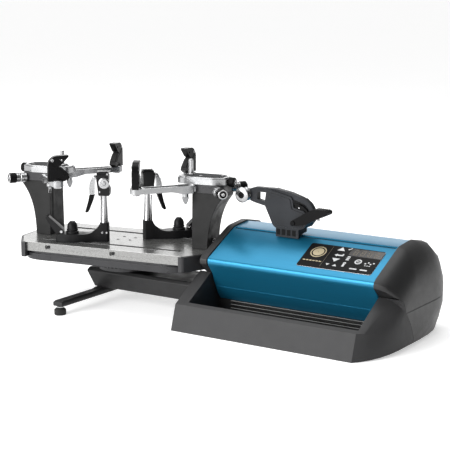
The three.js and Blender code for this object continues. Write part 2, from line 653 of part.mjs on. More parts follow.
function gripLever() {
  const profile = [[436, 232, 5], [440, 224, 5], [452, 224, 4], [476, 230, 5], [501, 243, 6], [529, 256, 5],
    [528, 264, 5], [495, 265, 8], [479, 258, 6], [460, 246, 8]];
  const bar = prism('Y', profile, CARRIAGE.front - 8, CARRIAGE.front - 0.4, 3);
  const grip = prism('Y', [[492, 246], [501, 243, 6], [529, 256, 5], [528, 264, 5], [495, 265, 8], [492, 262]],
    CARRIAGE.front - 8, CARRIAGE.front + 14, 3);
  return join(bar, grip);
}

// ---- the whole machine ----
const rightHooks = [{ name: 'front_right', side: 1, facing: 112, reach: 178 },
  { name: 'back_right', side: -1, facing: -93, reach: 173 }];
const leftHooks = [{ name: 'back_left', side: 1, facing: -84, reach: 181 },
  { name: 'front_left', side: -1, facing: 40, reach: 157 }];

const base = group([
  piece('beam', beam(), 'cast'),
  piece('cross_leg', leg(), 'black'),
  piece('foot_front', foot(-LEG.half + FOOT.inset), 'rubber'),
  piece('foot_back', foot(LEG.half - FOOT.inset), 'rubber'),
  piece('bearing_ring', bearingRing(), 'black'),
  piece('tray', tray(), 'plastic'),
  piece('rear_cover', rearCover(), 'plastic'),
  piece('end_cap_left', endCap('left'), 'plastic'),
  piece('end_cap_right', endCap('right'), 'plastic'),
  piece('blue_extrusion', blueExtrusion(), 'blue'),
  piece('vent_grille', ventGrille(), 'black'),
  piece('control_panel', controlPanel(), 'black'),
  piece('guide_rail', guideRail(), 'steel'),
]);

const turntable = group([
  piece('turntable_hub', turntableHub(), 'black'),
  piece('turntable_skirt', skirt(), 'grey'),
  piece('turntable_plate', turntablePlate(), 'silver'),
  piece('plate_cap_left', plateEndCap(-1), 'black'),
  piece('plate_cap_right', plateEndCap(1), 'black'),
  towerSet('left', leftHooks),
  towerSet('right', rightHooks),
  clampSet('left'),
  clampSet('right'),
], { x: PIVOT_X, turn: REST_TURN });

const carriage = group([
  piece('slider', slider(), 'steel'),
  piece('carriage_body', carriageBody(), 'charcoal'),
  piece('nose_disc', noseDisc(), 'steel'),
  piece('grip_lever', gripLever(), 'charcoal'),
]);

const machine = group([base, turntable, carriage], FRAME_SHIFT);
export default machine;
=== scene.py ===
import math

import bmesh
import bpy
from mathutils import Matrix, Vector


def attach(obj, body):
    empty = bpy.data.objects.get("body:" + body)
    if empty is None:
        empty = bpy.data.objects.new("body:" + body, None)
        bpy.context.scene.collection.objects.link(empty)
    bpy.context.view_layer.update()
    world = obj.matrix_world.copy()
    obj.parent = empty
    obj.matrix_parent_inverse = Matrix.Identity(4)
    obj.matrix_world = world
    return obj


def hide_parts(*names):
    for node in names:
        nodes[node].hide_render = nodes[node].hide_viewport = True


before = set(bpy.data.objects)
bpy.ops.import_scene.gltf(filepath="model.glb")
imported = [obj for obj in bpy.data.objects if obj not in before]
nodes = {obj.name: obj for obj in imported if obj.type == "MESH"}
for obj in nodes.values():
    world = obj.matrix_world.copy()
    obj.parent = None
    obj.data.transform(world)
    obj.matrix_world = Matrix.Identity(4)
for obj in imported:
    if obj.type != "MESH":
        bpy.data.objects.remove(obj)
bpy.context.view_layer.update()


# ---- places shared with the CAD model, in millimetres about the datum near the turntable ----
MM = 0.001
DATUM = Vector((-226.2, -9.5, 0.0))
PLATE_TOP = 148.0
KNOB_AXIS = PLATE_TOP + 134.0
ARM_TOP = PLATE_TOP + 146.0
YOKE_TOP = PLATE_TOP + 163.0
TRACK_Y = 71.0
TOWER_X = 218.0
TABLE_X = 4.0
TABLE_TURN = 9.1
ARM_ANGLE = 47.5
# each hook: its end of the table, the side of its arm, the way it faces in degrees, its reach
HOOKS = {
    "front_right": ("right", 1, 112, 178),
    "back_right": ("right", -1, -93, 173),
    "back_left": ("left", 1, -84, 181),
    "front_left": ("left", -1, 40, 157),
}
# each clamp: the sign of its place on the table, and its turn in degrees
CLAMPS = {"left": (-1, 21.5), "right": (1, 220.0)}
CLAMP_X = 102.0
FRONT_SLOPE = 26.3
RIGHT_END = 738.0
COVER_FRONT = 25.0
HOOK_HALF = 7.5
BASE_TOP = PLATE_TOP + 26.0
PLATE_EDGE = 119.9
CLAMP_TOP = PLATE_TOP + 163.6
ROUNDED_CAD = 0.7


def turn(degrees, axis="Z"):
    return Matrix.Rotation(math.radians(degrees), 4, axis)


def shift(x, y, z=0.0):
    return Matrix.Translation(Vector((x, y, z)))


ROOT = Matrix.Scale(MM, 4) @ Matrix.Translation(DATUM)
TABLE = ROOT @ shift(TABLE_X, 0) @ turn(TABLE_TURN)
ENDS = {"right": TABLE, "left": TABLE @ turn(180)}
SLOPE = ROOT @ shift(0, -60, 149.5) @ turn(FRONT_SLOPE, "X")


def arm_place(name):
    end, side, _, _ = HOOKS[name]
    return ENDS[end] @ shift(TOWER_X, 0) @ turn(180 + side * ARM_ANGLE)


def hook_place(name):
    end, side, facing, reach = HOOKS[name]
    spin = 0 if end == "right" else 180
    slope = math.radians(ARM_ANGLE)
    tip = shift(TOWER_X - reach * math.cos(slope), -side * reach * math.sin(slope))
    return ENDS[end] @ tip @ turn(facing - spin)


def clamp_place(end):
    sign, spin = CLAMPS[end]
    return TABLE @ shift(sign * CLAMP_X, sign * TRACK_Y) @ turn(spin)


# ---- materials: every colour, roughness and bump comes from procedural nodes ----
class Shader:
    """A Principled material with helpers that wire noise into its colour, roughness and bump."""

    def __init__(self, name, roughness=0.5, metallic=0.0, **sockets):
        self.material = bpy.data.materials.new(name)
        self.material.use_nodes = True
        self.tree = self.material.node_tree
        self.shader = self.tree.nodes["Principled BSDF"]
        self.shader.inputs["Roughness"].default_value = roughness
        self.shader.inputs["Metallic"].default_value = metallic
        for key, value in sockets.items():
            self.shader.inputs[key.replace("_", " ")].default_value = value
        self.coordinates = self.node("ShaderNodeTexCoord").outputs["Object"]
        self.height = None

    def node(self, kind, **settings):
        made = self.tree.nodes.new(kind)
        for key, value in settings.items():
            setattr(made, key, value)
        return made

    def link(self, start, end):
        self.tree.links.new(start, end)

    def noise(self, scale, detail=4.0, stretch=(1, 1, 1), roughness=0.5):
        mapping = self.node("ShaderNodeMapping")
        mapping.inputs["Scale"].default_value = stretch
        self.link(self.coordinates, mapping.inputs["Vector"])
        texture = self.node("ShaderNodeTexNoise")
        texture.inputs["Scale"].default_value = scale
        texture.inputs["Detail"].default_value = detail
        texture.inputs["Roughness"].default_value = roughness
        self.link(mapping.outputs["Vector"], texture.inputs["Vector"])
        return texture.outputs["Fac"]

    def spread(self, value, low, high):
        """Spreads the middle of a noise's range over low to high."""
        ranged = self.node("ShaderNodeMapRange")
        self.link(value, ranged.inputs["Value"])
        ends = {"From Min": 0.3, "From Max": 0.7, "To Min": low, "To Max": high}
        for key, number in ends.items():
            ranged.inputs[key].default_value = number
        return ranged.outputs["Result"]

    def colours(self, value, stops):
        ramp = self.node("ShaderNodeValToRGB")
        elements = ramp.color_ramp.elements
        while len(elements) < len(stops):
            elements.new(0.5)
        for element, (place, colour) in zip(elements, stops):
            element.position = place
            element.color = (*colour, 1)
        self.link(value, ramp.inputs["Fac"])
        self.link(ramp.outputs["Color"], self.shader.inputs["Base Color"])
        return self

    def rough(self, value, low, high):
        self.link(self.spread(value, low, high), self.shader.inputs["Roughness"])
        return self

    def bump(self, value, distance, strength=1.0):
        made = self.node("ShaderNodeBump")
        made.inputs["Distance"].default_value = distance
        made.inputs["Strength"].default_value = strength
        self.link(value, made.inputs["Height"])
        if self.height is not None:
            self.link(self.height, made.inputs["Normal"])
        self.height = made.outputs["Normal"]
        self.link(self.height, self.shader.inputs["Normal"])
        return self


def shade(colour, factor):
    return tuple(min(1.0, c * factor) for c in colour)


def moulded(name, colour, roughness=0.5, grain=0.00006, scale=900, specular=0.4):
    """Moulded plastic or rubber: a fine pebbled skin with faint handling marks."""
    made = Shader(name, roughness, Specular_IOR_Level=specular)
    cloud = made.noise(14, 5)
    made.colours(cloud, [(0.3, shade(colour, 0.94)), (0.7, shade(colour, 1.06))])
    made.rough(made.noise(60, 6), roughness - 0.02, roughness + 0.04)
    made.bump(made.noise(scale, 3), grain)
    return made.material


def coated(name, colour, roughness=0.45, metallic=0.25, orange=0.00010, specular=0.5):
    """A cast part with a satin coat: orange-peel waves, worn slightly glossier in patches."""
    made = Shader(name, roughness, metallic, Specular_IOR_Level=specular)
    made.colours(made.noise(20, 6), [(0.3, shade(colour, 0.8)), (0.7, shade(colour, 1.22))])
    made.rough(made.noise(45, 5), roughness - 0.1, roughness + 0.12)
    made.bump(made.noise(420, 4), orange)
    made.bump(made.noise(1500, 2), orange * 0.4)
    return made.material


def brushed(name, colour, roughness, stretch, scale, metallic, depth=0.000004):
    """Metal with fine parallel brushing; stretch is largest across the lines."""
    made = Shader(name, roughness, metallic)
    lines = made.noise(scale, 4, stretch, 0.5)
    made.colours(lines, [(0.3, shade(colour, 0.88)), (0.7, shade(colour, 1.1))])
    made.rough(made.noise(scale * 1.7, 6, stretch, 0.6), roughness - 0.08, roughness + 0.12)
    made.bump(lines, depth)
    return made.material


def anodised(name, colour, roughness, metallic):
    """Coloured anodised aluminium: even colour over the faint drawn lines of the extrusion."""
    made = Shader(name, roughness, metallic)
    lines = made.noise(24, 6, (0.6, 30, 30), 0.6)
    made.colours(lines, [(0.3, shade(colour, 0.95)), (0.7, shade(colour, 1.05))])
    made.rough(made.noise(40, 5, (0.6, 24, 24), 0.6), roughness - 0.03, roughness + 0.05)
    made.bump(lines, 0.000006)
    return made.material


def cast_metal(name, colour, roughness=0.36):
    """Satin silver casting: a fine grain with soft blotches."""
    made = Shader(name, roughness, 0.9)
    made.colours(made.noise(30, 3), [(0.3, shade(colour, 0.94)), (0.7, shade(colour, 1.05))])
    made.rough(made.noise(50, 3), roughness - 0.03, roughness + 0.06)
    made.bump(made.noise(900, 1), 0.000005)
    return made.material


def polished(name, colour, roughness):
    """Bright steel: nearly smooth, with the faintest grain."""
    made = Shader(name, roughness, 1.0)
    made.colours(made.noise(60, 4), [(0.3, shade(colour, 0.9)), (0.7, shade(colour, 1.06))])
    made.rough(made.noise(200, 5), roughness - 0.05, roughness + 0.1)
    made.bump(made.noise(700, 2), 0.000006)
    return made.material


LOOK = {
    "housing": moulded("housing_plastic", (0.034, 0.034, 0.035), 0.5, 0.00009, 1100, 0.25),
    # painted shade: the housing's plastic made darker for the end caps and rear cover, which the
    # main light reaches less than the front wall
    "cap": moulded("housing_plastic_shaded", (0.014, 0.014, 0.0145), 0.42, 0.00007, 1100),
    "slats": moulded("slat_plastic", (0.020, 0.020, 0.020), 0.3, 0.00003, 1200, 0.7),
    "black": moulded("black_plastic", (0.022, 0.022, 0.024), 0.42, 0.00005, 1300),
    "hook": moulded("hook_plastic", (0.004, 0.004, 0.0043), 0.28, 0.00002, 1000, 0.1),
    "grip": moulded("grip_plastic", (0.004, 0.004, 0.0042), 0.36, 0.00002, 1400, 0.08),
    "rubber": moulded("foot_rubber", (0.018, 0.018, 0.018), 0.7, 0.00010, 700, 0.25),
    "frame": coated("frame_paint", (0.012, 0.012, 0.0125), 0.42, 0.0, specular=0.35),
    "tower": coated("tower_metal", (0.010, 0.010, 0.010), 0.42, 0.0, 0.00016, 0.2),
    "skirt": coated("skirt_metal", (0.022, 0.022, 0.024), 0.34, 0.05, specular=0.35),
    "carriage": coated("carriage_metal", (0.020, 0.0215, 0.0245), 0.36, 0.0, 0.00008, 0.15),
    "clamp": coated("clamp_black", (0.006, 0.006, 0.0065), 0.4, 0.0, specular=0.2),
    "inlay": coated("inlay_grey", (0.040, 0.041, 0.043), 0.75, 0.0, 0.00008, 0.15),
    "silver": cast_metal("silver_metal", (0.35, 0.353, 0.358), 0.22),
    "plate": brushed("plate_metal", (0.24, 0.24, 0.235), 0.26, (1, 50, 50), 16, 0.75),
    "steel": polished("bright_steel", (0.42, 0.42, 0.425), 0.13),
    "blue": anodised("blue_metal", (0.012, 0.175, 0.31), 0.31, 0.6),
    # painted highlight: light grey for the strips along the black slats, standing in for the light
    # their edges catch
    "edge": moulded("slat_painted_highlight", (0.42, 0.42, 0.41), 0.3, 0.00001),
    # painted highlight: pale polished metal for the strips along the plate's top edges, standing in
    # for the light caught by the rounded edge
    "painted_edge_highlight": polished("painted_edge_highlight", (0.80, 0.80, 0.79), 0.3),
    "dark_line": moulded("dark_line", (0.008, 0.008, 0.009), 0.5),
    "display": moulded("display_glass", (0.012, 0.010, 0.009), 0.12, 0.00001, 400, 0.6),
    "unlit": moulded("display_unlit", (0.110, 0.090, 0.062), 0.4),
    "gold": cast_metal("panel_gold", (0.52, 0.45, 0.30), 0.4),
    "print": moulded("panel_print", (0.55, 0.56, 0.57), 0.45, 0.00001),
}


def cad_look(look, *names):
    for name in names:
        node = nodes[name]
        node.data.materials.clear()
        node.data.materials.append(LOOK[look])


# edge rounding in millimetres; a node that isn't listed gets ROUNDED_CAD
ROUNDING = {
    "tray": 3.0, "rear_cover": 2.5, "end_cap_left": 2.0, "end_cap_right": 2.0,
    "blue_extrusion": 0.8, "turntable_plate": 1.2, "turntable_skirt": 1.5, "beam": 1.5,
    "cross_leg": 1.2, "carriage_body": 1.4, "grip_lever": 1.4, "control_panel": 0.3,
    "vent_grille": 0.3, "bearing_ring": 0.3,
}


def soften(name):
    """Welds the node's facets, rounds its hard edges and shades it smooth."""
    node = nodes[name]
    mesh = node.data
    if mesh.has_custom_normals:
        mesh.attributes.remove(mesh.attributes["custom_normal"])
    mesh.polygons.foreach_set("use_smooth", [True] * len(mesh.polygons))
    weld = node.modifiers.new("weld", "WELD")
    weld.merge_threshold = 2e-5
    flat = node.modifiers.new("flat", "DECIMATE")
    flat.decimate_type = "DISSOLVE"
    flat.angle_limit = math.radians(0.6)
    bevel = node.modifiers.new("bevel", "BEVEL")
    bevel.width = ROUNDING.get(name, ROUNDED_CAD) * MM
    bevel.segments = 3
    bevel.limit_method = "ANGLE"
    bevel.angle_limit = math.radians(32)
    bevel.harden_normals = True
    bevel.miter_outer = "MITER_ARC"


cad_look("frame", "beam", "cross_leg")
cad_look("rubber", "foot_front", "foot_back")
cad_look("black", "bearing_ring", "plate_cap_left", "plate_cap_right", "turntable_hub")
cad_look("housing", "tray")
# painted shade: the caps and rear cover take the darker copy of the housing plastic
cad_look("cap", "rear_cover", "end_cap_left", "end_cap_right")
cad_look("slats", "vent_grille")
cad_look("blue", "blue_extrusion")
cad_look("grip", "control_panel", "grip_lever")
cad_look("steel", "guide_rail", "slider")
cad_look("silver", "nose_disc")
cad_look("skirt", "turntable_skirt")
cad_look("plate", "turntable_plate")
cad_look("carriage", "carriage_body")
for end in ENDS:
    cad_look("tower", f"tower_{end}")
    cad_look("steel", f"tower_{end}_lock", f"support_pin_{end}", f"clamp_{end}_glide",
             f"clamp_{end}_post")
    cad_look("silver", f"yoke_plate_{end}", f"clamp_{end}_dial", f"clamp_{end}_lever")
    # the saddles take the dark grey skirt finish: partly their own colour, partly painted shade
    # under the yoke plates
    cad_look("skirt", f"saddle_{end}")
    cad_look("clamp", f"clamp_{end}_base", f"clamp_{end}_lock", f"clamp_{end}_head")
    cad_look("grip", f"clamp_{end}_handle")
for hook in HOOKS:
    cad_look("silver", f"{hook}_arm")
    cad_look("grip", f"{hook}_knob")
    cad_look("hook", f"{hook}_hook")
for name in nodes:
    soften(name)


# ---- shapes for the small pieces, drawn in millimetres and set down by a placing matrix ----
def lathe(profile, sides=32, wave=None):
    """Turns [radius, height] points about Z; wave adds a ripple to the radius."""
    bm = bmesh.new()
    rings = []
    for radius, height in profile:
        ring = []
        for k in range(sides):
            angle = 2 * math.pi * k / sides
            r = radius + (wave(k, radius) if wave else 0)
            ring.append(bm.verts.new((r * math.cos(angle), r * math.sin(angle), height)))
        rings.append(ring)
    for low, high in zip(rings, rings[1:]):
        for k in range(sides):
            j = (k + 1) % sides
            bm.faces.new((low[k], low[j], high[j], high[k]))
    bm.faces.new(rings[0][::-1])
    bm.faces.new(rings[-1])
    bmesh.ops.recalc_face_normals(bm, faces=bm.faces)
    return bm


def filleted(points, radius=2.0, steps=4):
    """Rounds each corner of an outline with a small curve."""
    made = []
    for i, point in enumerate(points):
        corner = Vector(point)
        back = Vector(points[i - 1]) - corner
        ahead = Vector(points[(i + 1) % len(points)]) - corner
        blend = min(radius, back.length * 0.45, ahead.length * 0.45)
        enter, leave = corner + back.normalized() * blend, corner + ahead.normalized() * blend
        for k in range(steps + 1):
            t = k / steps
            made.append(enter * (1 - t) ** 2 + corner * 2 * t * (1 - t) + leave * t * t)
    return [(p.x, p.y) for p in made]


def slab(outline, low, high):
    """A flat plate: an outline in X and Y, from one height to another."""
    bm = bmesh.new()
    bottom, top = [[bm.verts.new((x, y, level)) for x, y in outline] for level in (low, high)]
    bm.faces.new(bottom)
    bm.faces.new(top)
    for k in range(len(outline)):
        bm.faces.new((bottom[k - 1], bottom[k], top[k], top[k - 1]))
    bmesh.ops.recalc_face_normals(bm, faces=bm.faces)
    return bm


def strip(left, right, y, half, low, high):
    """A straight strip along X, half each side of y."""
    return slab([(left, y - half), (right, y - half), (right, y + half), (left, y + half)],
                low, high)


def moved(bm, matrix):
    bm.transform(matrix)
    return bm


def joined(*parts):
    whole = bmesh.new()
    for bm in parts:
        mesh = bpy.data.meshes.new("part")
        bm.to_mesh(mesh)
        bm.free()
        whole.from_mesh(mesh)
        bpy.data.meshes.remove(mesh)
    return whole


def upright(outline, radius, low, high):
    """A plate drawn in X and Z with filleted corners, standing up."""
    return moved(slab(filleted(outline, radius), low, high), turn(90, "X"))


def knurled(depth, above):
    """A ripple for lathe that pushes out every second point past a radius."""
    return lambda k, radius: depth * (k % 2) if radius > above else 0


def add(name, bm, look, place, body, rounding=0.25):
    """Sets a piece down, rounds its edges in millimetres and hangs it on a body."""
    bm.transform(place)
    mesh = bpy.data.meshes.new(name)
    bm.to_mesh(mesh)
    bm.free()
    mesh.polygons.foreach_set("use_smooth", [True] * len(mesh.polygons))
    mesh.set_sharp_from_angle(angle=math.radians(35))
    mesh.materials.append(LOOK[look])
    thing = bpy.data.objects.new(name, mesh)
    bpy.context.scene.collection.objects.link(thing)
    if rounding:
        bevel = thing.modifiers.new("bevel", "BEVEL")
        bevel.width = rounding * MM
        bevel.segments = 2
        bevel.limit_method = "ANGLE"
        bevel.angle_limit = math.radians(40)
        bevel.harden_normals = True
    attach(thing, body)
    return thing


def bolt(radius, height, recess=0.5):
    """A socket-head bolt standing on Z: a chamfered head with a sunk socket."""
    socket = radius * recess
    chamfer = height - radius * 0.18
    return lathe([(radius, 0), (radius, chamfer), (radius * 0.85, height), (socket, height),
                  (socket * 0.95, height - radius * 0.35), (0.05, height - radius * 0.4)], 24)


# ---- arms, yoke plates and knobs ----
def arm_details(name):
    end, _, _, reach = HOOKS[name]
    place = arm_place(name)
    body = f"arm_{name}"
    panel = [(54, -10), (74, -10), (92, -8), (reach - 18, -8), (reach - 15, 0),
             (reach - 18, 8), (92, 8), (74, 10), (54, 10)]
    inlay = slab(filleted(panel, 3), ARM_TOP - 0.2, ARM_TOP + 0.2)
    add(f"{name}_arm_inlay", inlay, "inlay", place, body, 0.2)
    wing = [(-7, 1), (7, 1), (7, -4), (3.5, -13), (0, -17), (-3.5, -13), (-7, -4)]
    drop = moved(slab(filleted(wing, 4), -3.5, 3.5), shift(62, 0, ARM_TOP - 27) @ turn(90, "X"))
    add(f"{name}_arm_wing", drop, "silver", place, body, 1.2)
    lines = joined(*[strip(96, reach - 20, y, 0.5, ARM_TOP + 0.1, ARM_TOP + 0.25) for y in (-5, 5)])
    add(f"{name}_arm_lines", lines, "dark_line", place, body, 0)


def knob_details(name):
    end = HOOKS[name][0]
    place = arm_place(name) @ shift(0, 0, KNOB_AXIS) @ turn(-90, "Y")
    body = f"knob_{name}"
    thread = [(3.2 + 0.7 * (k % 2), 16 + k * 1.0) for k in range(45)]
    add(f"{name}_screw", lathe(thread, 20), "steel", place, body, 0)
    drum = lathe([(10.4, 69), (11.6, 70), (11.6, 84), (10.4, 85.4)], 72, knurled(0.35, 11))
    grip = add(f"{name}_grip", drum, "grip", place, body, 0)
    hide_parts(f"{name}_knob")
    collar = lathe([(10.4, 60.5), (11.4, 61.3), (11.4, 64), (9.8, 64.6), (11.4, 65.4),
                    (11.4, 68.4), (10.4, 69.2)], 44)
    add(f"{name}_collar", collar, "silver", place, body, 0)
    rim = lathe([(11.0, 84.0), (11.0, 85.8), (10.3, 86.5), (8.2, 86.5), (7.8, 85.6),
                 (5.0, 85.6)], 44)
    face = joined(rim, moved(bolt(3.9, 3.0), shift(0, 0, 86.0)))
    add(f"{name}_face", face, "steel", place, body, 0)
    dish = lathe([(7.7, 85.0), (7.7, 85.8), (7.4, 86.0), (4.1, 86.0)], 40)
    add(f"{name}_dish", dish, "grip", place, body, 0)
    barrel = lathe([(10.2, 44), (11.4, 45), (11.4, 50), (10.4, 50.6), (10.4, 52),
                    (11.4, 52.6), (11.4, 58), (10.4, 59.2)], 40)
    add(f"{name}_barrel", barrel, "silver", place, f"tower_{end}", 0)


def yoke_details(end):
    place = ENDS[end]
    body = f"tower_{end}"
    panel = [(149, 0), (166, -20), (178, -25), (236, -25), (254, -14), (254, 14), (236, 25),
             (178, 25), (166, 20)]
    inlay = slab(filleted(panel, 5), YOKE_TOP - 0.2, YOKE_TOP + 0.4)
    add(f"yoke_{end}_inlay", inlay, "inlay", place, body, 0.3)
    for k, (x, y) in enumerate(((200, -15), (243, 8))):
        at = place @ shift(x, y, YOKE_TOP + 0.2)
        add(f"yoke_{end}_bolt_{k}", bolt(3.4, 1.6), "steel", at, body, 0)
    collar = lathe([(8.2, 0), (8.2, 2.0), (7.4, 2.8), (5.7, 2.8)], 32)
    at = place @ shift(168, 0, YOKE_TOP)
    add(f"yoke_{end}_pin_collar", collar, "steel", at, body, 0)
    for k, y in enumerate((-9, 9)):
        at = place @ shift(184.8, y, PLATE_TOP + 120) @ turn(-90, "Y")
        add(f"tower_{end}_bolt_{k}", bolt(4, 2), "steel", at, body, 0)
    rib = slab(filleted([(-20, 14), (20, 14), (17, 112), (-17, 112)], 6), 0, 0.9)
    at = place @ shift(184.9, 0, PLATE_TOP) @ turn(-90, "Y") @ turn(-90, "Z")
    add(f"tower_{end}_panel", rib, "tower", at, body, 0.5)
    nut = lathe([(5.6, 0), (5.6, 2), (4.6, 3), (2.5, 3)], 6)
    at = place @ shift(232.6, -6, PLATE_TOP + 16) @ turn(90, "Y")
    add(f"tower_{end}_lock_nut", nut, "steel", at, f"tower_{end}_lock", 0.3)


# ---- racket hooks ----
def hook_details(name):
    place = hook_place(name)
    base = ARM_TOP + 0.3
    body = f"hook_{name}"
    for side in (-1, 1):
        at = place @ shift(-12, side * HOOK_HALF, base + 48) @ turn(-90 * side, "X")
        letter = "ab"[side > 0]
        add(f"{name}_hook_screw_{letter}", bolt(3.6, 1.3), "steel", at, body, 0)
    cheek = [(-17, 5), (-3, 5), (8, 12), (19, 13), (7, 27), (-2, 29), (-8, 36), (-15, 42),
             (-18, 36)]
    for side in (-1, 1):
        plate = upright(cheek, 2.5, 0, 0.9)
        at = place @ shift(0, HOOK_HALF * side + (0.9 if side > 0 else 0), base)
        letter = "ab"[side > 0]
        add(f"{name}_hook_cheek_{letter}", plate, "hook", at, body, 0.35)
    pad = [(4.5, 31.8), (25, 13.5), (26, 16), (7.5, 33.2)]
    upper = [(4.5, 36.4), (7.0, 36.4), (24, 54.6), (22.5, 56)]
    pads = joined(*[moved(slab(outline, -6.2, 6.2), turn(90, "X")) for outline in (pad, upper)])
    add(f"{name}_hook_pads", pads, "rubber", place @ shift(0, 0, base), body, 0.4)
    nut = lathe([(8.6, 0), (9.0, 0.6), (9.0, 3.4), (8.2, 4.2), (5, 4.2)], 6)
    at = place @ shift(0, 0, base - 16.6)
    add(f"{name}_arm_nut", nut, "steel", at, f"arm_{name}", 0.3)
    washer = lathe([(12.6, 0), (12.9, 0.3), (12.9, 1.1), (12.4, 1.5), (11.1, 1.5)], 40)
    at = place @ shift(0, 0, base + 0.05)
    add(f"{name}_hook_ring", washer, "steel", at, body, 0)


# ---- string clamps ----
def clamp_details(end):
    place = clamp_place(end)
    name = f"clamp_{end}"
    at = place @ shift(77, -19.2, PLATE_TOP + 138) @ turn(90, "X")
    body = f"{name}_dial"
    rim = lathe([(11.6, -1.0), (11.6, 0.2), (10.6, 0.8), (9.2, 0.8), (8.8, 0.2), (6.4, 0.2)], 44)
    wing = slab(filleted([(-8.6, -1.1), (8.6, -1.1), (8.6, 1.1), (-8.6, 1.1)], 0.6), 0, 1.0)
    face = moved(joined(rim, moved(wing, turn(35))), shift(0, 0, -2.4))
    add(f"{name}_dial_face", face, "steel", at, body, 0)
    band = lathe([(11.6, -5.6), (12.4, -5.0), (12.4, -2.9), (11.6, -2.4)], 60, knurled(0.3, 12))
    add(f"{name}_dial_knurl", band, "silver", at, body, 0)
    head = f"{name}_head"
    for k, (x, z) in enumerate(((66, 117), (84, 158))):
        spot = place @ shift(x, -11.9, PLATE_TOP + z) @ turn(90, "X")
        add(f"{name}_rivet_{k}", bolt(2.2, 1.1), "steel", spot, head, 0)
    cheek = [(66, 122), (86, 122), (84, 128), (86, 152), (80, 160), (64, 158), (61, 150),
             (64, 132)]
    at = place @ shift(0, 12.7, PLATE_TOP)
    add(f"{name}_cheek", upright(cheek, 3, 0, 0.8), "clamp", at, head, 0.3)
    lines = joined(*[strip(60, 90, y, 0.45, CLAMP_TOP, CLAMP_TOP + 0.7)
                     for y in (-3.6, -2.2, 2.2, 3.6)])
    add(f"{name}_jaw_lines", lines, "steel", place, head, 0.1)
    lever = f"{name}_lever"
    upper = lathe([(2.6, -8.2), (3.2, -7.8), (3.2, 7.8), (2.6, 8.2)], 24)
    lower = lathe([(2.0, -7.8), (2.5, -7.4), (2.5, 7.4), (2.0, 7.8)], 20)
    pins = joined(moved(upper, shift(54, 0, PLATE_TOP + 150) @ turn(90, "X")),
                  moved(lower, shift(48, 0, PLATE_TOP + 116) @ turn(90, "X")))
    add(f"{name}_lever_pins", pins, "steel", place, lever, 0)
    ribs = [moved(slab([(44.5, 143), (50, 143), (49.6, 140.6), (44, 140.6)], -7.5, 7.5),
                  turn(90, "X") @ shift(-1.2 * k, -6 * k)) for k in range(4)]
    at = place @ shift(0, 0, PLATE_TOP)
    add(f"{name}_lever_ribs", joined(*ribs), "silver", at, lever, 0.3)
    base = f"{name}_base"
    guide = lathe([(1.5, 0), (1.8, 0.5), (1.8, 60), (1.2, 61)], 16)
    at = place @ shift(66.5, 5.5, PLATE_TOP + 43.5)
    add(f"{name}_guide_rod", guide, "steel", at, base, 0)
    hinge = moved(lathe([(3.0, -13), (3.6, -12.4), (3.6, 12.4), (3.0, 13)], 24), turn(90, "X"))
    at = place @ shift(-24, 0, BASE_TOP - 2.5)
    add(f"{name}_lock_pin", hinge, "steel", at, base, 0)
    cap = lathe([(12.4, 0), (12.9, 0.5), (12.9, 2.4), (12.4, 3)], 48, knurled(0.3, 12.5))
    at = place @ shift(0, 0, BASE_TOP)
    add(f"{name}_dome_ring", cap, "clamp", at, base, 0)
    crown = lathe([(6.2, 0), (6.2, 0.9), (5.6, 1.4), (3.2, 1.4), (2.9, 0.6), (0.05, 0.5)], 28)
    at = place @ shift(0, 0, BASE_TOP + 19.4)
    add(f"{name}_dome_cap", crown, "clamp", at, base, 0)
    for k, x in enumerate((70.5, 80.5)):
        spot = place @ shift(x, -10.6, PLATE_TOP + 22) @ turn(90, "X")
        add(f"{name}_socket_bolt_{k}", bolt(2.4, 1.2), "steel", spot, base, 0)


# ---- turntable ----
def tower_knob(end):
    """The black knob at the outer end of each yoke, on the turntable's long axis."""
    place = ENDS[end] @ shift(256, 0, PLATE_TOP + 152) @ turn(90, "Y")
    body = f"tower_{end}"
    neck = lathe([(6.6, -6), (6.6, 3), (7.6, 3.6), (7.6, 6.4), (6.8, 7)], 32)
    add(f"yoke_{end}_neck", neck, "steel", place, body, 0)
    drum = lathe([(9.4, 6.8), (10.6, 7.8), (10.6, 20), (9.4, 21.4), (5, 21.6)], 60,
                 knurled(0.35, 10))
    add(f"yoke_{end}_knob", drum, "grip", place, body, 0)
    at = place @ shift(0, 0, 21.0)
    add(f"yoke_{end}_knob_face", bolt(5.4, 1.8), "steel", at, body, 0)


def table_details():
    body = "turntable"
    for k, (x, y) in enumerate(((-15, -12), (-16.5, 21.5), (14.5, -8.5), (14, 20))):
        at = TABLE @ shift(x, y, PLATE_TOP - 0.55)
        add(f"plate_screw_{k}", bolt(3.6, 0.9, 0.55), "inlay", at, body, 0)
    # painted highlight: a bright strip along each long top edge of the plate
    for k, side in enumerate((-1, 1)):
        edge = strip(-200, 200, side * PLATE_EDGE, 0.6, PLATE_TOP - 0.4, PLATE_TOP + 0.1)
        add(f"plate_painted_highlight_{k}", edge, "painted_edge_highlight", TABLE, body, 0)
    for k, (x, side) in enumerate(((-139, 1), (29, 1), (-139, -1), (29, -1))):
        at = TABLE @ turn(0 if side > 0 else 180) @ shift(x, -117.2, 139) @ turn(90, "X")
        add(f"plate_bolt_{k}", bolt(3.8, 2.6), "dark_line", at, body, 0)
    for k, y in enumerate((-TRACK_Y, TRACK_Y)):
        for j, lip in enumerate((-7.4, 7.4)):
            edge = strip(-176, 176, y + lip, 0.5, PLATE_TOP - 0.3, PLATE_TOP + 0.12)
            add(f"track_edge_{k}{j}", edge, "steel", TABLE, body, 0)
        floor = strip(-175.6, 175.6, y, 6.6, PLATE_TOP - 9, PLATE_TOP - 8.8)
        add(f"track_floor_{k}", floor, "dark_line", TABLE, body, 0)


# ---- tension head ----
def printed(outline, low=0.0, high=0.18):
    """A thin printed mark on the keypad; x runs along the machine and s up the slope."""
    return slab(outline, low, high)


